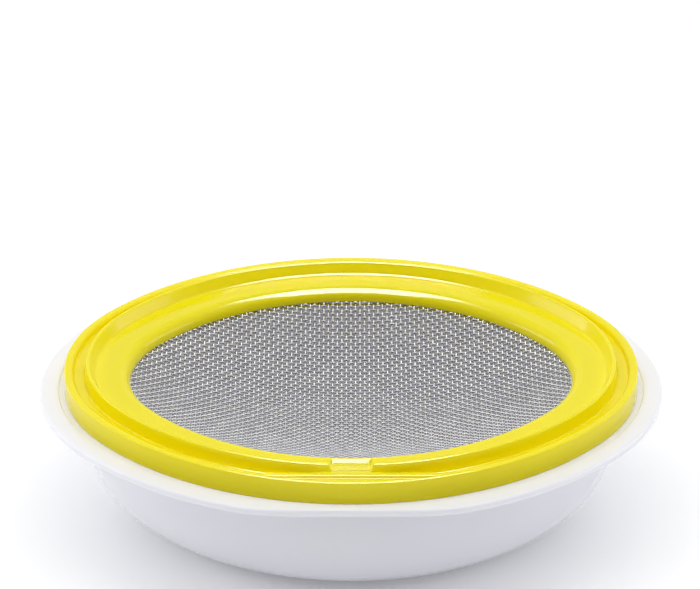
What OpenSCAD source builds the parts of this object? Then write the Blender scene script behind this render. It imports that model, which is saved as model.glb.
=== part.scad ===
// Oval sieve with a dished wire cloth, seated on a flanged catch bowl.
// +X runs along the oval, -Y is the front with the thumb ledge, +Z is up.
// The origin is the centre of the bowl's flat base.

/* [Oval plan] */
// Length of the sieve over its outer skirt
sieve_length = 244; // [236:2:252]
// Distance from the middle to the centre of each end's arc: the oval is half of this narrower
end_centre = 40; // [36:4:44]

/* [Sieve ring] */
// Height from the skirt's foot to the top of the inner ridge
ring_height = 13.2; // [12.6:0.1:13.8]
// Height from the skirt's foot to the top of the outer bead
bead_height = 10; // [9.8:0.1:10.4]
// Width of the rounded bead at the top
bead_width = 3.8; // [3.6:0.1:4]
// Thickness of the skirt
skirt_wall = 1.7; // [1.4:0.1:1.8]
// Depth of the groove between the bead and the ridge
groove_depth = 3; // [2.4:0.1:3.1]
// Distance from the skirt to the middle of the ridge
ridge_reach = 10.2; // [9.8:0.1:10.6]
// Height of the shelf inside the ridge
shelf_height = 7.9; // [7.7:0.1:8.4]
// Width of the whole ring, from the skirt to the wire cloth
ring_width = 28; // [27:0.5:29]
// Radius of the roll that turns down from the shelf to the cloth
roll_radius = 5; // [4.8:0.1:5.2]

/* [Front grip] */
// Half length of the straight thumb ledge
ledge_reach = 36.5; // [30:0.5:40]
// Depth of the thumb ledge below the bead
ledge_depth = 1.4; // [0.8:0.1:2]
// Width of the straight land behind the ledge
land_width = 2.8; // [2:0.2:3.4]
// Width of the notch in the ridge at its floor
notch_width = 15.2; // [12:0.2:18]
// Width of the notch at the top of the ridge
notch_flare = 18.4; // [18:0.2:22]

/* [Wire cloth] */
// Depth of the dish at its centre, below its rim
dish_depth = 17.5; // [14:0.5:22]
// Thickness of the woven cloth, two wires deep
cloth_thickness = 1; // [0.8:0.1:1.1]

/* [Catch bowl] */
// Height of the flange's top above the base
flange_height = 60; // [57:1:68]
// Width of the flange outside the sieve's skirt
flange_reach = 10.8; // [9:0.2:13]
// Height of the locating collar above the groove's floor
collar_height = 4.9; // [4.4:0.1:5]
// Length of the flat base
base_length = 128; // [122:1:136]
// Thickness of the floor
floor_thickness = 2.4; // [2:0.1:3]

/* [Hidden] */
$fn = 96;

// The oval is four tangent arcs. The arcs meet on lines that rise 3 in 4, from a side's centre
// through an end's centre, so the two radii differ by 5/4 of end_centre. Every ring in the part
// keeps the same centres and adds an offset to both radii: 0 is the sieve skirt's outer face,
// positive is outwards.
half_length = sieve_length / 2;
end_radius = half_length - end_centre;
side_centre = end_centre * 3 / 4;
side_radius = end_radius + end_centre * 5 / 4;
half_width = side_radius - side_centre;

// Bowl section
groove_drop = 0.8;
seat = flange_height - groove_drop;
groove_gap = 2.4;
collar_width = 3.2;
collar_out = -2.4;
collar_radius = collar_width / 2;
flange_wall = 2;
lip_height = 3.2;
lip_width = 1.6;
lip_round = 1;
skin = 0.01;
grip_reach = 37;
body_height = flange_height - flange_wall;
body_wall = 2.2;
body_top = -5.4;
body_base = base_length / 2 - half_length;
belly_rise = 2;
belly_round = 2.8;
wall_steps = 28;
// The flange's front edge is a straight chord as wide as the grip
flange_side = side_radius + flange_reach;
flange_front = sqrt(pow(flange_side, 2) - pow(grip_reach, 2)) - side_centre;

// Ring section, with heights above the seat
bead_radius = bead_width / 2;
bead_centre = bead_height - bead_radius;
groove_floor = bead_height - groove_depth;
groove_base = groove_floor - 1.5;
ridge_radius = 0.95;
ridge_centre = ring_height - ridge_radius;
ridge_lean = 9;
groove_in = ridge_radius / cos(ridge_lean) - ridge_reach
    + (ridge_centre - groove_floor) * tan(ridge_lean);
shelf_lean = 25;
shelf_fillet = 1.5;
fillet_in = -ridge_reach - (ridge_radius + shelf_fillet) / cos(shelf_lean)
    - (ridge_centre - shelf_height - shelf_fillet) * tan(shelf_lean);
shelf_base = shelf_height - 1.8;
roll_centre = roll_radius - ring_width;
roll_base = shelf_height - roll_radius;
lip_thickness = 1;
cloth_top = roll_base - lip_thickness;
cloth_base = cloth_top - cloth_thickness;
pocket_in = 3.8 - ring_width;
pocket_out = 8.8 - ring_width;
retainer_out = pocket_out + 1.6;
retainer_wall = 1.5;
retainer_chamfer = 0.6;
band_width = 1.2;
band_height = 1.6;
cloth_edge = pocket_out - band_width - 0.2;
land_top = bead_height - 0.1;
land_bottom = groove_floor - 0.5;
land_inset = 0.6;
ledge_inset = 1.2;
ledge_side = side_radius - ledge_inset;
ledge_chord = sqrt(pow(ledge_side, 2) - pow(ledge_reach, 2)) - side_centre;
land_line = ledge_chord - land_width;
notch_floor = land_top - 0.4;
notch_front = land_line + 1.4;
notch_back = half_width + fillet_in;

// The dish falls as a parabola of the distance inwards from its rim
dish_span = half_width - ring_width;
dish_flat = end_radius - ring_width - 3;
dish_steps = 16;

plastic_white = [0.93, 0.93, 0.95];
plastic_yellow = [0.93, 0.88, 0.08];
steel = [0.72, 0.73, 0.74];

// Points of an arc round [x, z], from angle a to angle b
function arc(x, z, r, a, b, steps) =
    [for (i = [0:steps]) let (t = a + (b - a) * i / steps) [x + r * cos(t), z + r * sin(t)]];

// How far out a bowl wall stands at a fraction t of its height: flat off the base, then upright
function belly(t) = pow(1 - pow(1 - t, belly_rise), 1 / belly_round);

// Points of a bowl wall, from its foot at [d0, z0] to its top at [d1, z1]
function bowl_wall(d0, z0, d1, z1) =
    [for (i = [0:wall_steps])
        let (t = pow(i / wall_steps, 2)) [d0 + (d1 - d0) * belly(t), z0 + (z1 - z0) * t]];

// How far the dish has fallen at a distance t inwards from its rim
function dish_fall(t) = dish_depth * (1 - pow(1 - t / dish_span, 2));

function reversed(list) = [for (i = [len(list) - 1:-1:0]) list[i]];

// Sweeps a section, drawn as [offset, height], round the oval: each arc is a full turn of the
// section, cut to its own wedge of the plan
module oval_sweep() {
    far_x = 6 * end_centre;
    far_y = far_x * 3 / 4 - side_centre;
    for (side = [-1, 1]) {
        intersection() {
            translate([side * end_centre, 0, 0])
                rotate_extrude() translate([end_radius, 0]) children();
            translate([0, 0, -half_length])
                linear_extrude(height = sieve_length)
                    polygon([[side * end_centre, 0], [side * far_x, far_y], [side * far_x, -far_y]]);
        }
        intersection() {
            translate([0, -side * side_centre, 0])
                rotate_extrude() translate([side_radius, 0]) children();
            translate([0, 0, -half_length])
                linear_extrude(height = sieve_length)
                    polygon([[0, -side * side_centre], [far_x, side * far_y], [-far_x, side * far_y]]);
        }
    }
}

// A solid oval slab whose edge is at an offset from the skirt
module oval_slab(offset_out, z, height) {
    end_r = end_radius + offset_out;
    side_r = side_radius + offset_out;
    join_x = end_centre + end_r * 4 / 5;
    translate([0, 0, z]) {
        for (side = [-1, 1])
            translate([side * end_centre, 0, 0]) cylinder(r = end_r, h = height);
        intersection() {
            translate([0, -side_centre, 0]) cylinder(r = side_r, h = height);
            translate([0, side_centre, 0]) cylinder(r = side_r, h = height);
            translate([-join_x, -side_r, 0]) cube([2 * join_x, 2 * side_r, height]);
        }
    }
}

// White bowl: belly, locating collar, groove for the sieve's skirt, and flange with a turned-down lip
module catch_bowl() {
    wall_in = body_base - 1;
    lip_in = flange_reach - lip_width;
    lip_z = flange_height - lip_height;
    collar_z = seat + collar_height - collar_radius;
    section = concat(
        bowl_wall(body_base, 0, body_top, body_height),
        [[lip_in, body_height], [lip_in, lip_z], [flange_reach, lip_z]],
        arc(flange_reach - lip_round, flange_height - lip_round, lip_round, 0, 90, 6),
        [[groove_gap + groove_drop, flange_height], [groove_gap, seat], [collar_out, seat]],
        arc(collar_out - collar_radius, collar_z, collar_radius, 0, 180, 12),
        reversed(bowl_wall(wall_in, floor_thickness, body_top - body_wall, body_height)),
        [[wall_in - 2, floor_thickness], [wall_in - 2, 0]]
    );
    color(plastic_white) {
        difference() {
            oval_sweep() polygon(section);
            translate([-half_length, -flange_front - flange_reach, lip_z - lip_round])
                cube([sieve_length, flange_reach, lip_height + 2 * lip_round]);
        }
        oval_slab(wall_in - 1, 0, floor_thickness);
        translate([-grip_reach + lip_round, -flange_front, lip_z])
            cube([2 * (grip_reach - lip_round), lip_width, lip_height - skin]);
    }
}

// Land behind the thumb ledge, which fills the groove and is level with the bead at both ends
module grip_land() {
    height = land_top - land_bottom;
    past_ledge = ledge_reach + 6;
    intersection() {
        oval_slab(-land_inset, land_bottom, height);
        translate([-past_ledge, -half_width, land_bottom])
            cube([2 * past_ledge, half_width - land_line, height]);
    }
}

// Crescent between the straight ledge and the bead's outer edge
module grip_ledge() {
    intersection() {
        oval_slab(-ledge_inset, bead_height - ledge_depth, ring_height);
        translate([-half_length, -half_width, 0])
            cube([sieve_length, half_width - ledge_chord, 2 * ring_height]);
    }
}

// Notch through the ridge, with slanted sides
module grip_notch() {
    translate([0, -notch_back, 0]) rotate([90, 0, 0])
        linear_extrude(height = notch_front - notch_back)
            polygon([[-notch_width / 2, notch_floor], [notch_width / 2, notch_floor],
                [notch_flare / 2, ring_height + 0.1], [-notch_flare / 2, ring_height + 0.1]]);
}

// Yellow ring: skirt and bead, groove, ridge, shelf and roll, with a thumb ledge and a notch at
// the front
module sieve_ring() {
    section = concat(
        [[0, 0]],
        arc(-bead_radius, bead_centre, bead_radius, 0, 180, 14),
        [[-bead_width, groove_floor], [groove_in, groove_floor]],
        arc(-ridge_reach, ridge_centre, ridge_radius, ridge_lean, 180 - shelf_lean, 10),
        arc(fillet_in, shelf_height + shelf_fillet, shelf_fillet, -shelf_lean, -90, 5),
        arc(roll_centre, roll_base, roll_radius, 90, 180, 10),
        [[-ring_width, cloth_top], [pocket_in, cloth_top], [pocket_in, shelf_base],
            [-ridge_reach - shelf_base + groove_base, shelf_base], [-ridge_reach, groove_base],
            [-skirt_wall, groove_base], [-skirt_wall, 0]]
    );
    color(plastic_yellow) translate([0, 0, seat])
        difference() {
            union() {
                oval_sweep() polygon(section);
                grip_land();
            }
            grip_ledge();
            grip_notch();
        }
}

// Yellow ring under the roll, which traps the rim of the wire cloth
module retaining_ring() {
    foot = cloth_base - retainer_wall;
    inner = 1 - ring_width;
    color(plastic_yellow) translate([0, 0, seat])
        oval_sweep()
            polygon([[retainer_out, foot + retainer_chamfer], [retainer_out, shelf_base],
                [pocket_out, shelf_base], [pocket_out, cloth_base], [inner, cloth_base],
                [inner, foot + retainer_chamfer], [inner + retainer_chamfer, foot],
                [retainer_out - retainer_chamfer, foot]]);
}

// Steel hoop welded round the cloth's cut edge
module mesh_edge_band() {
    color(steel) translate([0, 0, seat + cloth_base])
        oval_sweep()
            translate([cloth_edge, 0]) square([band_width, band_height]);
}

// Woven steel cloth, pressed to a shallow dish with a flat rim
module mesh_dish() {
    fall = [for (i = [0:dish_steps])
        let (t = dish_flat * i / dish_steps) [-ring_width - t, -dish_fall(t)]];
    top = concat([[cloth_edge, 0]], fall);
    section = concat(top, reversed([for (p = top) [p[0], p[1] - cloth_thickness]]));
    color(steel) translate([0, 0, seat + cloth_top]) {
        oval_sweep() polygon(section);
        oval_slab(-ring_width - dish_flat + 0.5, -dish_fall(dish_flat) - cloth_thickness,
            cloth_thickness);
    }
}

catch_bowl();
sieve_ring();
retaining_ring();
mesh_edge_band();
mesh_dish();
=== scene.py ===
"""Oval sieve on its catch bowl: glossy plastic mouldings and a woven wire dish, round the CAD frame."""

import math

import bmesh
import bpy
import numpy as np
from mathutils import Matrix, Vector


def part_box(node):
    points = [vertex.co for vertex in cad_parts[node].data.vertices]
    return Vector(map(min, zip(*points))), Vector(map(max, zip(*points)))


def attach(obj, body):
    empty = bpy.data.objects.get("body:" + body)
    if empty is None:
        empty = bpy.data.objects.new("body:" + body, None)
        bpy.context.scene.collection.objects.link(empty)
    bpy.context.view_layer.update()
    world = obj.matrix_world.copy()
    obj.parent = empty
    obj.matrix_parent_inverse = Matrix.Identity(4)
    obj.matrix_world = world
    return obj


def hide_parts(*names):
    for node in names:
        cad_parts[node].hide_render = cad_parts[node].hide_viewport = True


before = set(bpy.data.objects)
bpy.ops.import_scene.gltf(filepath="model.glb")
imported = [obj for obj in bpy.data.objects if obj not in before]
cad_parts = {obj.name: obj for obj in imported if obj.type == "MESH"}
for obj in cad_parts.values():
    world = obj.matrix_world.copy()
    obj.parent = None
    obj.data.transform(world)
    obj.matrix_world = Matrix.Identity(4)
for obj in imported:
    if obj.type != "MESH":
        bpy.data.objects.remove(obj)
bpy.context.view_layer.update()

MM = 0.001

# ---- Plan, as in the CAD: an oval of four arcs. An offset is outwards from the sieve's skirt, in metres
RING_LOW, RING_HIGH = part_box("sieve_ring")
BOWL_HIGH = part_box("catch_bowl")[1]
END_CENTRE = 40 * MM
SIDE_CENTRE = END_CENTRE * 3 / 4
END_RADIUS = RING_HIGH.x - END_CENTRE
SIDE_RADIUS = END_RADIUS + END_CENTRE * 5 / 4
HALF_WIDTH = SIDE_RADIUS - SIDE_CENTRE

# ---- The arcs meet on lines that rise 3 in 4 from an end's centre
JOIN_ANGLE = math.atan2(SIDE_CENTRE, END_CENTRE)
JOIN_RISE = 0.75
JOIN_COSINE, JOIN_SINE = 0.8, 0.6

# ---- Where the sections stand closer together: degrees either side of the front
GRIP_ANGLE = 21.0
NOTCH_ANGLE = 6.0

# ---- A station is away from the front where its angle's sine is above this. AWAY is past every offset
FRONT_SINE = -0.5
AWAY = 1.0

# ---- Rounding of corners: the share of a side that it may take, and what is too small to round. A
# corner that vanishes leaves points closer than the merge distance
CORNER_SHARE = 0.49
SHORTEST_SIDE = 1e-7
STRAIGHTEST = 1e-3
SLIGHTEST_TURN = 1e-4
MERGE_DISTANCE = 0.002 * MM

# ---- Heights. The seat is the floor of the groove that the sieve's skirt stands in
SEAT = RING_LOW.z
GROOVE_DROP = 0.8 * MM
FLANGE_TOP = SEAT + GROOVE_DROP
COLLAR_TOP = BOWL_HIGH.z

# ---- Bowl section: belly, collar, groove, flange with its lip, and foot. A draft is a face's slight lean
BODY_TOP = -5.4 * MM
BODY_BASE = -58 * MM
BODY_WALL = 2.2 * MM
BELLY_RISE = 2
BELLY_ROUND = 2.8
FLOOR_TOP = 2.4 * MM
FLOOR_INSET = 1 * MM
COLLAR_IN = -5.7 * MM
COLLAR_OUT = -2.4 * MM
COLLAR_FOOT = -2.3 * MM
SEAT_OUT = 2.4 * MM
FLANGE_IN = 2.9 * MM
FLANGE_REACH = 10.8 * MM
FLANGE_WALL = 2 * MM
LIP_HEIGHT = 3.2 * MM
LIP_TIP = 1.7 * MM
LIP_ROOT = 1.8 * MM
DRAFT = 0.1 * MM
RIM_DEPTH = 3 * MM
FOOT_RIM = 4 * MM
FOOT_SLANT = 0.7 * MM
FOOT_RISE = 0.7 * MM

# ---- Sieve ring section: skirt, bead, groove, ridge, shelf and roll
RING_WIDTH = 28 * MM
SKIRT_WALL = 1.7 * MM
BEAD_TOP = SEAT + 10 * MM
BEAD_WIDTH = 3.8 * MM
BEAD_ROUND = 1.9 * MM
GROOVE_FLOOR = SEAT + 7 * MM
GROOVE_BASE = SEAT + 5.5 * MM
GROOVE_IN = -8.41 * MM
GROOVE_ROUND = 0.8 * MM
LEAST_ROUND = 0.05 * MM
RIDGE_TOP = RING_HIGH.z
RIDGE_OUT = -9.4 * MM
RIDGE_IN = -10.8 * MM
RIDGE_ROUND = 0.95 * MM
SHELF_TOP = SEAT + 7.9 * MM
SHELF_BASE = SEAT + 6.1 * MM
SHELF_OUT = -13.27 * MM
SHELF_LEAD = 3.5 * MM
UNDER_STEP = 0.6 * MM
ROLL_RADIUS = 5 * MM
ROLL_END = 178
ROLL_STEPS = 20
LIP_THICKNESS = 1 * MM
CLOTH_TOP = SHELF_TOP - ROLL_RADIUS - LIP_THICKNESS
CLOTH_THICKNESS = 1 * MM
CLOTH_MID = CLOTH_TOP - CLOTH_THICKNESS / 2
POCKET_IN = -24.2 * MM
POCKET_OUT = -19.2 * MM

# ---- Retaining ring section
RETAINER_DROP = 2.5 * MM
RETAINER_LIP = 1.6 * MM
RETAINER_INSET = 1 * MM

# ---- Front grip: a sunk thumb ledge and the land behind it. A blend is the width over which it sets in
LEDGE_REACH = 36.5 * MM
LEDGE_INSET = 1.2 * MM
LEDGE_DEPTH = 1.4 * MM
LEDGE_LEAST = 0.05 * MM
LEDGE_DRAFT = 0.15 * MM
LEDGE_BLEND = 1.2 * MM
LEDGE_CHORD = math.sqrt((SIDE_RADIUS - LEDGE_INSET) ** 2 - LEDGE_REACH**2) - SIDE_CENTRE
LAND_WIDTH = 2.8 * MM
LAND_LINE = LEDGE_CHORD - LAND_WIDTH
LAND_DROP = 0.1 * MM
LAND_TOP = BEAD_TOP - LAND_DROP
LAND_BLEND = 1.5 * MM

# ---- How the land fills the groove as they meet, and how much tighter the corners get there
FILL_LEAD = 0.3 * MM
FILL_BLEND = 0.9 * MM
FILL_LEAN = 0.45
FILL_GAP = 0.12 * MM
FILL_TIGHTENING = 0.7
FRONT_ROUND = 0.8 * MM
FRONT_TIGHTENING = 1.4 * MM

# ---- Notch, and the straight front edge of the flange
NOTCH_FALL = 0.3
NOTCH_NEAR = 7.6 * MM
NOTCH_FAR = 9.2 * MM
NOTCH_MARGIN = 2 * MM
GRIP_REACH = 37 * MM
FLANGE_BLEND = 3.5 * MM
FLANGE_LINE = math.sqrt((SIDE_RADIUS + FLANGE_REACH) ** 2 - GRIP_REACH**2) - SIDE_CENTRE

# ---- Wire cloth. The margin is how far its wires run on under the ring
WIRE_PITCH = 2.0 * MM
WIRE_RADIUS = 0.38 * MM
WIRE_SIDES = 6
WEAVE_SHARE = 0.98
STEPS_A_PITCH = 4
SLOPE_STEP = 0.2 * MM
CLOTH_MARGIN = 2.2 * MM
DISH_DEPTH = 17.5 * MM
NEAR_MIDDLE = 1e-9

# ---- Plastics: two close colours, subsurface weight and specular level. Noise scales are patches a
# metre, a dulling adds to roughness, and depths are in metres
WHITE = ((0.83, 0.835, 0.91), (0.81, 0.815, 0.895), 0.6, 0.5)
YELLOW = ((0.88, 0.755, 0.002), (0.865, 0.735, 0.001), 0.25, 0.32)
PLASTIC_GLOSS = 0.1
PLASTIC_IOR = 1.5
SCATTER_DEPTH = 6 * MM
SCATTER_COLOUR = (1.0, 0.95, 0.9)
CLOUD_SCALE = 14
SMUDGE_SCALE = 45
SMUDGE_DULLING = 0.07
SCUFF_SCALE = 260
SCUFF_STRETCH = (1, 9, 3)
SCUFF_RANGE = (0.62, 0.75)
SCUFF_DULLING = 0.1
PEEL_SCALE, PEEL_DEPTH, PEEL_STRENGTH = 240, 0.00004, 0.35
WARP_SCALE, WARP_DEPTH, WARP_STRENGTH = 26, 0.0004, 0.12

# ---- Steel: bright and dull colours, and roughness
WIRE = ((0.72, 0.72, 0.74), (0.58, 0.58, 0.61), 0.16)
PATCH_SCALE = 180
DRAWN_SCALE = 900
DRAWN_DULLING = 0.14
LINES_SCALE, LINES_DEPTH, LINES_STRENGTH = 2500, 0.00003, 0.2

# ---- Floor
FLOOR_REACH = 30
FLOOR_TONES = ((0.93, 0.93, 0.93), (0.95, 0.95, 0.95))
FLOOR_SCALE = 3
FLOOR_ROUGHNESS = 0.6
FLOOR_GLOW = 0.1
FLOOR_SPECULAR = 0.1

# ---- Camera: its rise in degrees, and how far its aim is lifted and shifted from the flange's middle
CAMERA_RISE = 27.0
CAMERA_DISTANCE = 1.66
CAMERA_LIFT = 37.8 * MM
CAMERA_SIDE = -0.43 * MM
CAMERA_LENS = 200
CAMERA_SENSOR = 36

# ---- Sky strengths, and the ranges of direction, along Y and up, over which they change
SKY_TOP = 0.8
SKY_SIDE = 0.8
SKY_FRONT = 0.04
SKY_FRONT_RANGE = (-0.9, 0.05)
SKY_RISE_RANGE = (0.2, 0.9)

# ---- Lamps: place, size and radiance
OVERHEAD = ((0.0, -0.1, 1.3), (1.6, 0.6), 1.9)
LEFT_SIDE = ((-1.35, 0.15, 0.42), (0.9, 0.5), 2.6)
RIGHT_SIDE = ((1.35, 0.15, 0.42), (0.9, 0.5), 1.8)
GLOSS_BOX = ((0.0, -0.33, 1.25), (1.1, 1.15), 26)
LAMP_AIM = (0, 0, 0.05)


# ======== Shapes ========


def arc(centre, radius, start, end, steps):
    """Points of an arc round centre, from angle start to angle end in degrees."""
    angles = np.radians(np.linspace(start, end, steps + 1))
    return [(centre[0] + radius * math.cos(a), centre[1] + radius * math.sin(a)) for a in angles]


def rounded(corners, steps=5):
    """A closed path through corners (offset, height, radius), each one rounded to its radius. A corner
    with a radius always gives steps + 1 points, so that every section has as many."""
    path = []
    count = len(corners)
    for i, (x, z, radius) in enumerate(corners):
        here = np.array((x, z))
        before = np.array(corners[i - 1][:2]) - here
        after = np.array(corners[(i + 1) % count][:2]) - here
        reach = CORNER_SHARE * min(np.linalg.norm(before), np.linalg.norm(after))
        if radius <= 0 or reach < SHORTEST_SIDE:
            path += [here] if radius == 0 else [here] * (steps + 1)
            continue
        before, after = before / np.linalg.norm(before), after / np.linalg.norm(after)
        half = math.acos(max(-1.0, min(1.0, float(before @ after)))) / 2
        if half > math.pi / 2 - STRAIGHTEST:
            path += [here] * (steps + 1)
            continue
        cut = min(radius / math.tan(half), reach)
        first, last = here + before * cut, here + after * cut
        bulge = cut * math.tan(half)
        middle = here + (before + after) / np.linalg.norm(before + after) * math.hypot(cut, bulge)
        a, b = first - middle, last - middle
        turn = math.acos(max(-1.0, min(1.0, float(a @ b) / (bulge * bulge))))
        for k in range(steps + 1):
            t = k / steps
            if turn < SLIGHTEST_TURN:
                path.append(middle + a * (1 - t) + b * t)
            else:
                first_share, last_share = math.sin((1 - t) * turn), math.sin(t * turn)
                path.append(middle + (a * first_share + b * last_share) / math.sin(turn))
    return np.array(path)


def plan_stations():
    """Where the sections stand round the oval: rows of (centre x, centre y, radius, angle). They stand
    closer at the grip, and closest at the notch."""
    join, flat = math.degrees(JOIN_ANGLE), 180 - math.degrees(JOIN_ANGLE)
    grip, notch = GRIP_ANGLE, NOTCH_ANGLE
    pieces = [
        (END_CENTRE, 0, END_RADIUS, np.linspace(-join, join, 60)),
        (0, -SIDE_CENTRE, SIDE_RADIUS, np.linspace(join, flat, 120)),
        (-END_CENTRE, 0, END_RADIUS, np.linspace(flat, 360 - flat, 60)),
        (0, SIDE_CENTRE, SIDE_RADIUS, np.linspace(360 - flat, 270 - grip, 40)),
        (0, SIDE_CENTRE, SIDE_RADIUS, np.linspace(270 - grip, 270 - notch, 50)),
        (0, SIDE_CENTRE, SIDE_RADIUS, np.linspace(270 - notch, 270 + notch, 110)),
        (0, SIDE_CENTRE, SIDE_RADIUS, np.linspace(270 + notch, 270 + grip, 50)),
        (0, SIDE_CENTRE, SIDE_RADIUS, np.linspace(270 + grip, 360 - join, 40)),
    ]
    return [(x, y, r, math.radians(a)) for x, y, r, angles in pieces for a in angles[:-1]]


def plan_point(station, offset):
    """The point of the plan at an offset from the skirt, at a station."""
    x, y, radius, angle = station
    return x + (radius + offset) * math.cos(angle), y + (radius + offset) * math.sin(angle)


def line_offset(station, line):
    """The offset at which a station's section meets the line y = -line, or AWAY far from the front."""
    _, y, radius, angle = station
    if math.sin(angle) > FRONT_SINE:
        return AWAY
    return (-line - y) / math.sin(angle) - radius


def soft_min(a, b, width):
    """The smaller of a and b, rounded over width where they cross."""
    h = max(width - abs(a - b), 0.0) / width
    return min(a, b) - h * h * width / 4


def smooth(t):
    """0 below 0, 1 above 1, and an even rise between."""
    t = np.clip(t, 0, 1)
    return t * t * (3 - 2 * t)


def make_mesh(name, points, faces):
    """A smooth-shaded mesh object, linked to the scene."""
    mesh = bpy.data.meshes.new(name)
    mesh.from_pydata([tuple(p) for p in points], [], faces)
    mesh.update()
    mesh.shade_smooth()
    piece = bpy.data.objects.new(name, mesh)
    bpy.context.scene.collection.objects.link(piece)
    return piece


def merge_doubles(mesh):
    """Joins the points that fall together where a section's corner vanishes."""
    work = bmesh.new()
    work.from_mesh(mesh)
    bmesh.ops.remove_doubles(work, verts=work.verts, dist=MERGE_DISTANCE)
    bmesh.ops.dissolve_degenerate(work, edges=work.edges, dist=MERGE_DISTANCE)
    work.to_mesh(mesh)
    work.free()
    mesh.shade_smooth()


def sweep(name, section, stations, closed=True, shape=None):
    """Sweeps a section round the oval. section(station) gives its (offset, height) points, clockwise, so
    that the faces look outwards, and shape(grid) may move the points of all sections."""
    grid = []
    for station in stations:
        ring = section(station)
        grid.append([(*plan_point(station, d), z) for d, z in ring])
    grid = np.array(grid)
    if shape:
        grid = shape(grid)
    turns, rows = grid.shape[:2]
    faces = []
    for i in range(turns):
        j = (i + 1) % turns
        for k in range(rows if closed else rows - 1):
            m = (k + 1) % rows
            faces.append((i * rows + k, i * rows + m, j * rows + m, j * rows + k))
    points = [tuple(p) for p in grid.reshape(-1, 3)]
    if not closed:
        points, faces = close_ends(points, faces, grid, turns, rows)
    piece = make_mesh(name, points, faces)
    merge_doubles(piece.data)
    weighted = piece.modifiers.new("even_shading", "WEIGHTED_NORMAL")
    weighted.keep_sharp = False
    return piece


def close_ends(points, faces, grid, turns, rows, rings=6):
    """Fills an open sweep's first and last loops with rings that shrink to a middle point."""
    for row, flip in ((0, False), (rows - 1, True)):
        edge = [i * rows + row for i in range(turns)]
        height = grid[:, row, 2].mean()
        for ring in range(1, rings):
            scale = 1 - ring / rings
            start = len(points)
            points += [(x * scale, y * scale, height) for x, y, _ in grid[:, row]]
            inner = list(range(start, start + turns))
            for i in range(turns):
                j = (i + 1) % turns
                quad = (edge[i], edge[j], inner[j], inner[i])
                faces.append(quad if not flip else quad[::-1])
            edge = inner
        middle = len(points)
        points.append((0, 0, height))
        for i in range(turns):
            j = (i + 1) % turns
            faces.append((edge[i], edge[j], middle) if not flip else (middle, edge[j], edge[i]))
    return points, faces


# ======== Catch bowl ========


def belly(t):
    """How far out the wall stands at a fraction t of its height, from 0 to 1."""
    return (1 - (1 - t) ** BELLY_RISE) ** (1 / BELLY_ROUND)


def bowl_wall(foot, low, top, high, steps=46):
    """Points of a bowl wall, from offset foot at height low to offset top at height high."""
    shares = np.linspace(0, 1, steps)
    return [(foot + (top - foot) * belly(t * t), low + (high - low) * t * t) for t in shares]


def bowl_section(station):
    """From the floor inside, up over the collar and flange, and down to the foot. The first and last
    corners of the rim, and the first of the foot, only lead into the walls and are left out."""
    under = FLANGE_TOP - FLANGE_WALL
    reach = soft_min(FLANGE_REACH, line_offset(station, FLANGE_LINE), FLANGE_BLEND)
    lip = FLANGE_TOP - LIP_HEIGHT
    inside = bowl_wall(BODY_BASE - FLOOR_INSET, FLOOR_TOP, BODY_TOP - BODY_WALL, under)
    inside = [p for p in inside if p[1] < under - RIM_DEPTH]
    rim = rounded(
        [
            (-8.2 * MM, FLANGE_TOP - 9 * MM, 0),
            (BODY_TOP - BODY_WALL - DRAFT, under - 1 * MM, 6 * MM),
            (COLLAR_IN, COLLAR_TOP, 1.5 * MM),
            (COLLAR_OUT, COLLAR_TOP, 1.5 * MM),
            (COLLAR_FOOT, SEAT, 0.5 * MM),
            (SEAT_OUT, SEAT, 0.35 * MM),
            (FLANGE_IN, FLANGE_TOP, 0.4 * MM),
            (reach - DRAFT, FLANGE_TOP - DRAFT, 1.2 * MM),
            (reach, lip, 0.6 * MM),
            (reach - LIP_TIP, lip, 0.5 * MM),
            (reach - LIP_ROOT, under, 0.8 * MM),
            (BODY_TOP + 0.2 * MM, under, 1.6 * MM),
            (BODY_TOP, under - 8 * MM, 0),
        ]
    )[1:-1]
    outside = bowl_wall(BODY_BASE, 0, BODY_TOP, under)[::-1]
    outside = [p for p in outside if p[1] < under - RIM_DEPTH]
    foot = rounded(
        [
            (BODY_BASE + 6 * MM, 0, 0),
            (BODY_BASE - FOOT_RIM, 0, 0.5 * MM),
            (BODY_BASE - FOOT_RIM - FOOT_SLANT, FOOT_RISE, 0.5 * MM),
            (BODY_BASE - 8 * MM, FOOT_RISE, 0),
        ]
    )[1:]
    return np.array([*inside, *rim, *outside, *foot])


def catch_bowl(stations):
    """The bowl: an open section, with the floor and the underside closed in their middles."""
    return sweep("bowl_shell", bowl_section, stations, closed=False)


# ======== Sieve ring ========


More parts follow.
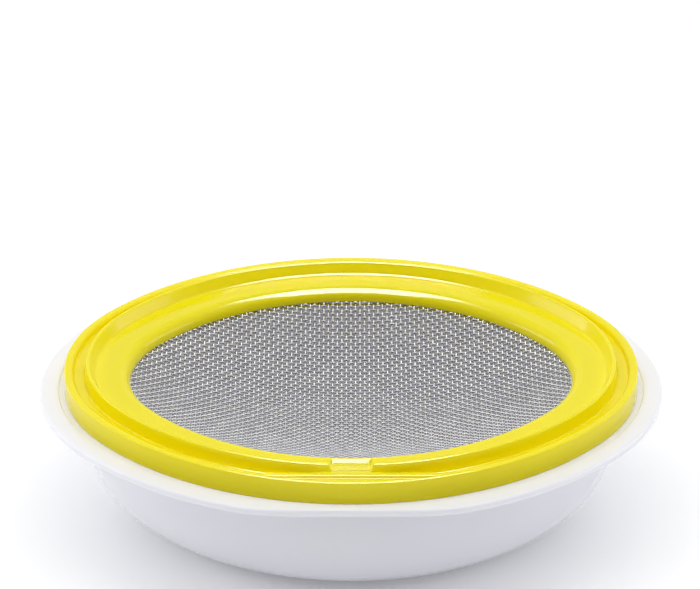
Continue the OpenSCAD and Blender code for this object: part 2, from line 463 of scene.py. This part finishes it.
def ring_section(station):
    """The ring's section. At the front a land fills the groove, and a straight ledge is sunk outside it:
    sunk, front and filled go from 0 to 1 as the ledge, the land's edge and the land set in."""
    chord = line_offset(station, LEDGE_CHORD)
    land = line_offset(station, LAND_LINE)
    ledge_width = -LEDGE_INSET - chord if chord < AWAY else 0.0
    sunk = float(smooth(ledge_width / LEDGE_BLEND))
    front = float(smooth((-BEAD_WIDTH - land) / LAND_BLEND))
    outer = -LEDGE_INSET
    inner = outer - max(ledge_width, LEDGE_LEAST)
    groove_out = min(-BEAD_WIDTH, land)
    filled = float(smooth(1 - (groove_out - GROOVE_IN + FILL_LEAD) / FILL_BLEND))
    wall = GROOVE_IN + (RIDGE_OUT - GROOVE_IN) * FILL_LEAN * filled
    groove_out = max(groove_out, wall + FILL_GAP)
    floor = GROOVE_FLOOR + (LAND_TOP - GROOVE_FLOOR) * filled
    edge = BEAD_TOP - LAND_DROP * front
    ledge = BEAD_TOP - LEDGE_DEPTH * sunk
    rim_round = BEAD_ROUND + (FRONT_ROUND - BEAD_ROUND) * max(sunk, front)
    roll_centre = (ROLL_RADIUS - RING_WIDTH, SHELF_TOP - ROLL_RADIUS)
    roll = arc(roll_centre, ROLL_RADIUS, 90, ROLL_END, ROLL_STEPS)
    corners = [
        (0.0, SEAT, 0.4 * MM),
        (0.0, BEAD_TOP, rim_round),
        (outer, BEAD_TOP, 0.35 * MM),
        (outer - LEDGE_DRAFT * sunk, ledge, 0.3 * MM),
        (inner + LEDGE_DRAFT * sunk, ledge, 0.3 * MM),
        (inner, edge, 0.6 * MM),
        (groove_out, edge, BEAD_ROUND - FRONT_TIGHTENING * front),
        (groove_out, floor, GROOVE_ROUND * (1 - filled) + LEAST_ROUND),
        (wall, floor, GROOVE_ROUND * (1 - FILL_TIGHTENING * filled)),
        (RIDGE_OUT, RIDGE_TOP, RIDGE_ROUND),
        (RIDGE_IN, RIDGE_TOP, RIDGE_ROUND),
        (SHELF_OUT, SHELF_TOP, 1.6 * MM),
        (SHELF_OUT - SHELF_LEAD, SHELF_TOP, 0),
        *[(x, z, 0) for x, z in roll],
        (-RING_WIDTH, CLOTH_TOP, 0.25 * MM),
        (POCKET_IN, CLOTH_TOP, 0.2 * MM),
        (POCKET_IN, SHELF_BASE, 0.3 * MM),
        (RIDGE_IN, SHELF_BASE, 0.4 * MM),
        (RIDGE_IN + UNDER_STEP, GROOVE_BASE, 0.4 * MM),
        (-SKIRT_WALL, GROOVE_BASE, 0.6 * MM),
        (-SKIRT_WALL, SEAT, 0.3 * MM),
    ]
    return rounded(corners[::-1])


def with_notch(grid):
    """Cuts a notch with slanted sides through the ridge at the front. Its floor starts flush with the
    land and falls inwards."""
    x, y, z = grid[..., 0], grid[..., 1], grid[..., 2]
    floor = LAND_TOP - NOTCH_FALL * np.maximum(LAND_LINE + y, 0)
    slope = (RIDGE_TOP - LAND_TOP) / (NOTCH_FAR - NOTCH_NEAR)
    sides = floor + np.maximum(np.abs(x) - NOTCH_NEAR, 0) * slope
    grid = grid.copy()
    across = (y < 0) & (np.abs(x) < NOTCH_FAR) & (-y < LAND_LINE + NOTCH_MARGIN)
    above = z > LAND_TOP - NOTCH_MARGIN
    grid[..., 2] = np.where(across & above, np.minimum(z, sides), z)
    return grid


def sieve_ring(stations):
    """The yellow ring that holds the cloth."""
    return sweep("ring_moulding", ring_section, stations, shape=with_notch)


def retainer_section(_station):
    """An L round the outside of the pocket and under the cloth, the same all the way round."""
    foot = CLOTH_TOP - RETAINER_DROP
    outer, inner = POCKET_OUT + RETAINER_LIP, RETAINER_INSET - RING_WIDTH
    under_cloth = CLOTH_TOP - CLOTH_THICKNESS
    return rounded(
        [
            (inner + DRAFT, foot, 0.6 * MM),
            (inner, under_cloth, 0.3 * MM),
            (POCKET_OUT, under_cloth, 0.2 * MM),
            (POCKET_OUT, SHELF_BASE, 0.1 * MM),
            (outer, SHELF_BASE, 0.1 * MM),
            (outer, foot, 0.6 * MM),
        ]
    )


def retaining_ring(stations):
    """The yellow ring that traps the cloth's edge from below."""
    return sweep("retaining_moulding", retainer_section, stations)


# ======== Wire cloth ========


def oval_radius(direction_x, direction_y, offset):
    """How far the oval at an offset lies from its middle, in a direction, by its four arcs."""
    x, y = np.abs(direction_x), np.abs(direction_y)
    end_r, side_r = END_RADIUS + offset, SIDE_RADIUS + offset
    end = x * END_CENTRE + np.sqrt(np.maximum((x * END_CENTRE) ** 2 - END_CENTRE**2 + end_r**2, 0))
    side = -y * SIDE_CENTRE + np.sqrt(np.maximum((y * SIDE_CENTRE) ** 2 - SIDE_CENTRE**2 + side_r**2, 0))
    px, py = end * x, end * y
    return np.where(py <= (px - END_CENTRE) * JOIN_RISE, end, side)


def dish_height(x, y):
    """Height of the cloth's middle surface: a dish inside the ring, and flat under it."""
    far = np.maximum(np.hypot(x, y), NEAR_MIDDLE)
    share = far / oval_radius(x / far, y / far, -RING_WIDTH)
    return CLOTH_MID - DISH_DEPTH * np.maximum(1 - share**2, 0)


def wire_tube(line, up, sides=WIRE_SIDES):
    """Points and faces of a tube of the wire's radius along a line of points, open at both ends."""
    along = np.gradient(line, axis=0)
    along /= np.linalg.norm(along, axis=1)[:, None]
    side = np.cross(along, up)
    side /= np.linalg.norm(side, axis=1)[:, None]
    top = np.cross(side, along)
    angles = np.arange(sides) * 2 * math.pi / sides
    ring = np.cos(angles)[None, :, None] * side[:, None] + np.sin(angles)[None, :, None] * top[:, None]
    points = (line[:, None] + WIRE_RADIUS * ring).reshape(-1, 3)
    rows = len(line)
    i, k = np.meshgrid(np.arange(rows - 1), np.arange(sides), indexing="ij")
    m = (k + 1) % sides
    faces = np.stack([i * sides + k, (i + 1) * sides + k, (i + 1) * sides + m, i * sides + m], -1)
    return points, faces.reshape(-1, 4)


def cloth_wires(name, across, half_name, keep):
    """One set of the cloth's wires: across is 0 for wires along Y and 1 for wires along X. Only the wires
    at places that keep(place) takes are made."""
    if across:
        half = HALF_WIDTH - RING_WIDTH + CLOTH_MARGIN
    else:
        half = END_CENTRE + END_RADIUS - RING_WIDTH + CLOTH_MARGIN
    count = int(half / WIRE_PITCH)
    all_points, all_faces, start = [], [], 0
    for n in range(-count, count + 1):
        place = n * WIRE_PITCH
        if not keep(place):
            continue
        reach = wire_reach(place, across, CLOTH_MARGIN - RING_WIDTH)
        if reach < WIRE_PITCH:
            continue
        samples = int(2 * reach / WIRE_PITCH * STEPS_A_PITCH)
        run = np.linspace(-reach, reach, samples)
        fixed = np.full_like(run, place)
        x, y = (run, fixed) if across else (fixed, run)
        weave = np.cos(math.pi * (run / WIRE_PITCH + n)) * (1 if across else -1)
        height = dish_height(x, y)
        step = SLOPE_STEP
        slope_x = (dish_height(x + step, y) - dish_height(x - step, y)) / (2 * step)
        slope_y = (dish_height(x, y + step) - dish_height(x, y - step)) / (2 * step)
        up = np.stack([-slope_x, -slope_y, np.ones_like(run)], -1)
        up /= np.linalg.norm(up, axis=1)[:, None]
        line = np.stack([x, y, height], -1) + up * (weave * WIRE_RADIUS * WEAVE_SHARE)[:, None]
        points, faces = wire_tube(line, up)
        all_points.append(points)
        all_faces.append(faces + start)
        start += len(points)
    points, faces = np.concatenate(all_points), np.concatenate(all_faces)
    return make_mesh(f"{name}_{half_name}", points, faces.tolist())


def wire_reach(place, across, offset):
    """Half the length of the wire that lies at a place, inside the oval at an offset."""
    end_r, side_r = END_RADIUS + offset, SIDE_RADIUS + offset
    join_x, join_y = END_CENTRE + end_r * JOIN_COSINE, end_r * JOIN_SINE
    place = abs(place)
    if across:
        if place <= join_y:
            return END_CENTRE + math.sqrt(end_r**2 - place**2)
        inside = side_r**2 - (place + SIDE_CENTRE) ** 2
        return math.sqrt(inside) if inside > 0 else 0
    if place <= join_x:
        return math.sqrt(side_r**2 - place**2) - SIDE_CENTRE
    inside = end_r**2 - (place - END_CENTRE) ** 2
    return math.sqrt(inside) if inside > 0 else 0


def wire_cloth():
    """The woven cloth, as four pieces: both halves of each set of wires."""
    halves = (("low", lambda place: place < 0), ("high", lambda place: place >= 0))
    return [
        cloth_wires(name, across, half_name, keep)
        for name, across in (("warp_wires", 0), ("weft_wires", 1))
        for half_name, keep in halves
    ]


# ======== Materials ========


def new_material(name):
    """A material with a Principled shader: (material, nodes, links, shader)."""
    material = bpy.data.materials.new(name)
    material.use_nodes = True
    nodes = material.node_tree.nodes
    nodes.clear()
    output = nodes.new("ShaderNodeOutputMaterial")
    shader = nodes.new("ShaderNodeBsdfPrincipled")
    material.node_tree.links.new(shader.outputs["BSDF"], output.inputs["Surface"])
    return material, nodes, material.node_tree.links, shader


def noise(nodes, links, scale, detail=3.0, stretch=(1, 1, 1)):
    """A noise pattern in the object's own coordinates: scale is patches a metre."""
    place = nodes.new("ShaderNodeTexCoord")
    mapping = nodes.new("ShaderNodeMapping")
    mapping.inputs["Scale"].default_value = stretch
    pattern = nodes.new("ShaderNodeTexNoise")
    pattern.inputs["Scale"].default_value = scale
    pattern.inputs["Detail"].default_value = detail
    links.new(place.outputs["Object"], mapping.inputs["Vector"])
    links.new(mapping.outputs["Vector"], pattern.inputs["Vector"])
    return pattern.outputs["Fac"]


def spread(nodes, links, value, low, high, source=(0.3, 0.7)):
    """Maps a pattern's middle range to low..high."""
    ranged = nodes.new("ShaderNodeMapRange")
    ranged.inputs["From Min"].default_value, ranged.inputs["From Max"].default_value = source
    ranged.inputs["To Min"].default_value, ranged.inputs["To Max"].default_value = low, high
    links.new(value, ranged.inputs["Value"])
    return ranged.outputs["Result"]


def mixed(nodes, links, factor, first, second):
    """A colour between first and second."""
    mix = nodes.new("ShaderNodeMix")
    mix.data_type = "RGBA"
    mix.inputs["A"].default_value = (*first, 1)
    mix.inputs["B"].default_value = (*second, 1)
    links.new(factor, mix.inputs["Factor"])
    return mix.outputs["Result"]


def bumped(nodes, links, height, distance, strength, normal=None):
    """A bump by a height pattern, on top of another bump's normal if there is one."""
    bump = nodes.new("ShaderNodeBump")
    bump.inputs["Distance"].default_value = distance
    bump.inputs["Strength"].default_value = strength
    links.new(height, bump.inputs["Height"])
    if normal:
        links.new(normal, bump.inputs["Normal"])
    return bump.outputs["Normal"]


def plastic(name, base, deep, scatter, sheen):
    """Glossy moulded plastic: faint flow clouding, fine orange peel, and hairline scuffs."""
    material, nodes, links, shader = new_material(name)
    cloud = spread(nodes, links, noise(nodes, links, CLOUD_SCALE, 2), 0, 1)
    links.new(mixed(nodes, links, cloud, base, deep), shader.inputs["Base Color"])
    smudge_noise = noise(nodes, links, SMUDGE_SCALE, 4)
    smudge = spread(nodes, links, smudge_noise, PLASTIC_GLOSS, PLASTIC_GLOSS + SMUDGE_DULLING)
    scuff_noise = noise(nodes, links, SCUFF_SCALE, 2, SCUFF_STRETCH)
    scuff = spread(nodes, links, scuff_noise, 0, SCUFF_DULLING, SCUFF_RANGE)
    total = nodes.new("ShaderNodeMath")
    links.new(smudge, total.inputs[0])
    links.new(scuff, total.inputs[1])
    links.new(total.outputs["Value"], shader.inputs["Roughness"])
    peel = bumped(nodes, links, noise(nodes, links, PEEL_SCALE, 1), PEEL_DEPTH, PEEL_STRENGTH)
    warp = bumped(nodes, links, noise(nodes, links, WARP_SCALE, 1), WARP_DEPTH, WARP_STRENGTH, peel)
    links.new(warp, shader.inputs["Normal"])
    shader.inputs["IOR"].default_value = PLASTIC_IOR
    shader.inputs["Specular IOR Level"].default_value = sheen
    shader.inputs["Subsurface Weight"].default_value = scatter
    shader.inputs["Subsurface Radius"].default_value = SCATTER_COLOUR
    shader.inputs["Subsurface Scale"].default_value = SCATTER_DEPTH
    return material


def steel(name, base, dull, gloss):
    """Drawn stainless wire: bright, with dull patches and a fine grain."""
    material, nodes, links, shader = new_material(name)
    patch = spread(nodes, links, noise(nodes, links, PATCH_SCALE, 3), 0, 1)
    links.new(mixed(nodes, links, patch, base, dull), shader.inputs["Base Color"])
    drawn = spread(nodes, links, noise(nodes, links, DRAWN_SCALE, 2), gloss, gloss + DRAWN_DULLING)
    links.new(drawn, shader.inputs["Roughness"])
    lines = bumped(nodes, links, noise(nodes, links, LINES_SCALE, 2), LINES_DEPTH, LINES_STRENGTH)
    links.new(lines, shader.inputs["Normal"])
    shader.inputs["Metallic"].default_value = 1.0
    return material


def floor_material():
    """Nearly white, with a faint glow, since the photo's ground is white."""
    material, nodes, links, shader = new_material("pale_floor")
    tone = spread(nodes, links, noise(nodes, links, FLOOR_SCALE, 2), 0, 1)
    links.new(mixed(nodes, links, tone, *FLOOR_TONES), shader.inputs["Base Color"])
    shader.inputs["Roughness"].default_value = FLOOR_ROUGHNESS
    shader.inputs["Emission Color"].default_value = (1, 1, 1, 1)
    shader.inputs["Emission Strength"].default_value = FLOOR_GLOW
    shader.inputs["Specular IOR Level"].default_value = FLOOR_SPECULAR
    return material


# ======== Stage ========


def add_camera():
    """The camera looks along +Y and down, at a point above the middle of the flange."""
    rise = math.radians(CAMERA_RISE)
    camera = bpy.data.objects.new("camera", bpy.data.cameras.new("camera"))
    camera.data.lens = CAMERA_LENS
    camera.data.sensor_width = CAMERA_SENSOR
    camera.location = (
        CAMERA_SIDE,
        -math.cos(rise) * CAMERA_DISTANCE + math.sin(rise) * CAMERA_LIFT,
        FLANGE_TOP + math.sin(rise) * CAMERA_DISTANCE + math.cos(rise) * CAMERA_LIFT,
    )
    camera.rotation_euler = (math.pi / 2 - rise, 0, 0)
    bpy.context.scene.collection.objects.link(camera)
    bpy.context.scene.camera = camera


def add_lamp(name, place, size, radiance, diffuse=True):
    """A soft rectangular lamp that faces the object. Without diffuse it gives only highlights."""
    lamp = bpy.data.lights.new(name, "AREA")
    lamp.shape = "RECTANGLE"
    lamp.size, lamp.size_y = size
    lamp.energy = radiance * math.pi * size[0] * size[1]
    holder = bpy.data.objects.new(name, lamp)
    holder.location = place
    holder.visible_diffuse = diffuse
    holder.visible_camera = False
    direction = np.array(LAMP_AIM) - np.array(place)
    flat = math.hypot(direction[0], direction[1])
    holder.rotation_euler = (math.atan2(flat, -direction[2]), 0, math.atan2(-direction[0], direction[1]))
    bpy.context.scene.collection.objects.link(holder)
    return holder


def add_sky():
    """Even studio light from above, the sides and behind the object, and hardly any from the front."""
    world = bpy.data.worlds.new("studio")
    world.use_nodes = True
    nodes, links = world.node_tree.nodes, world.node_tree.links
    nodes.clear()
    place = nodes.new("ShaderNodeTexCoord")
    split = nodes.new("ShaderNodeSeparateXYZ")
    links.new(place.outputs["Generated"], split.inputs["Vector"])
    front = nodes.new("ShaderNodeMapRange")
    front.interpolation_type = "SMOOTHSTEP"
    front.inputs["From Min"].default_value, front.inputs["From Max"].default_value = SKY_FRONT_RANGE
    front.inputs["To Min"].default_value, front.inputs["To Max"].default_value = SKY_FRONT, SKY_SIDE
    links.new(split.outputs["Y"], front.inputs["Value"])
    rise = nodes.new("ShaderNodeMapRange")
    rise.interpolation_type = "SMOOTHSTEP"
    rise.inputs["From Min"].default_value, rise.inputs["From Max"].default_value = SKY_RISE_RANGE
    rise.inputs["To Max"].default_value = SKY_TOP
    links.new(split.outputs["Z"], rise.inputs["Value"])
    links.new(front.outputs["Result"], rise.inputs["To Min"])
    background = nodes.new("ShaderNodeBackground")
    output = nodes.new("ShaderNodeOutputWorld")
    links.new(rise.outputs["Result"], background.inputs["Strength"])
    background.inputs["Color"].default_value = (1.0, 1.0, 1.0, 1)
    links.new(background.outputs["Background"], output.inputs["Surface"])
    bpy.context.scene.world = world


def add_lights(glossy):
    """An overhead softbox, one on each side, and a wide one that only the pieces in glossy reflect."""
    add_lamp("overhead", *OVERHEAD)
    add_lamp("left_side", *LEFT_SIDE)
    add_lamp("right_side", *RIGHT_SIDE)
    gloss_box = add_lamp("gloss_box", *GLOSS_BOX, diffuse=False)
    receivers = bpy.data.collections.new("glossy_pieces")
    for piece in glossy:
        receivers.objects.link(piece)
    gloss_box.light_linking.receiver_collection = receivers


def add_floor():
    """A plain pale floor, wide enough to run out of every view."""
    corners = [(x * FLOOR_REACH, y * FLOOR_REACH, 0) for x, y in ((-1, -1), (1, -1), (1, 1), (-1, 1))]
    floor = make_mesh("floor", corners, [(0, 1, 2, 3)])
    floor.data.materials.append(floor_material())


# ======== Build ========


def finish_piece(piece, body, slot, material, *nodes):
    """Gives a piece its material, puts it under the empty of the body it rides on, and hides the CAD
    nodes it replaces. The slot is not used.
    """
    piece.data.materials.clear()
    piece.data.materials.append(material)
    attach(piece, body)
    if nodes:
        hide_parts(*nodes)


def build():
    """Makes every piece, and returns the ones that the gloss box is for."""
    stations = plan_stations()
    white = plastic("white_plastic", *WHITE)
    yellow = plastic("yellow_plastic", *YELLOW)
    wire = steel("wire_steel", *WIRE)
    finish_piece(catch_bowl(stations), "bowl", "white_plastic", white, "catch_bowl")
    ring = sieve_ring(stations)
    finish_piece(ring, "sieve", "yellow_plastic", yellow, "sieve_ring")
    finish_piece(retaining_ring(stations), "sieve", "yellow_plastic", yellow, "retaining_ring")
    for piece in wire_cloth():
        finish_piece(piece, "sieve", "wire_steel", wire, "mesh_dish")
    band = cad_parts["mesh_edge_band"]
    band.data.materials.clear()
    band.data.materials.append(wire)
    return [ring]


bpy.context.scene.view_settings.view_transform = "Standard"
add_camera()
add_sky()
add_floor()
add_lights(build())
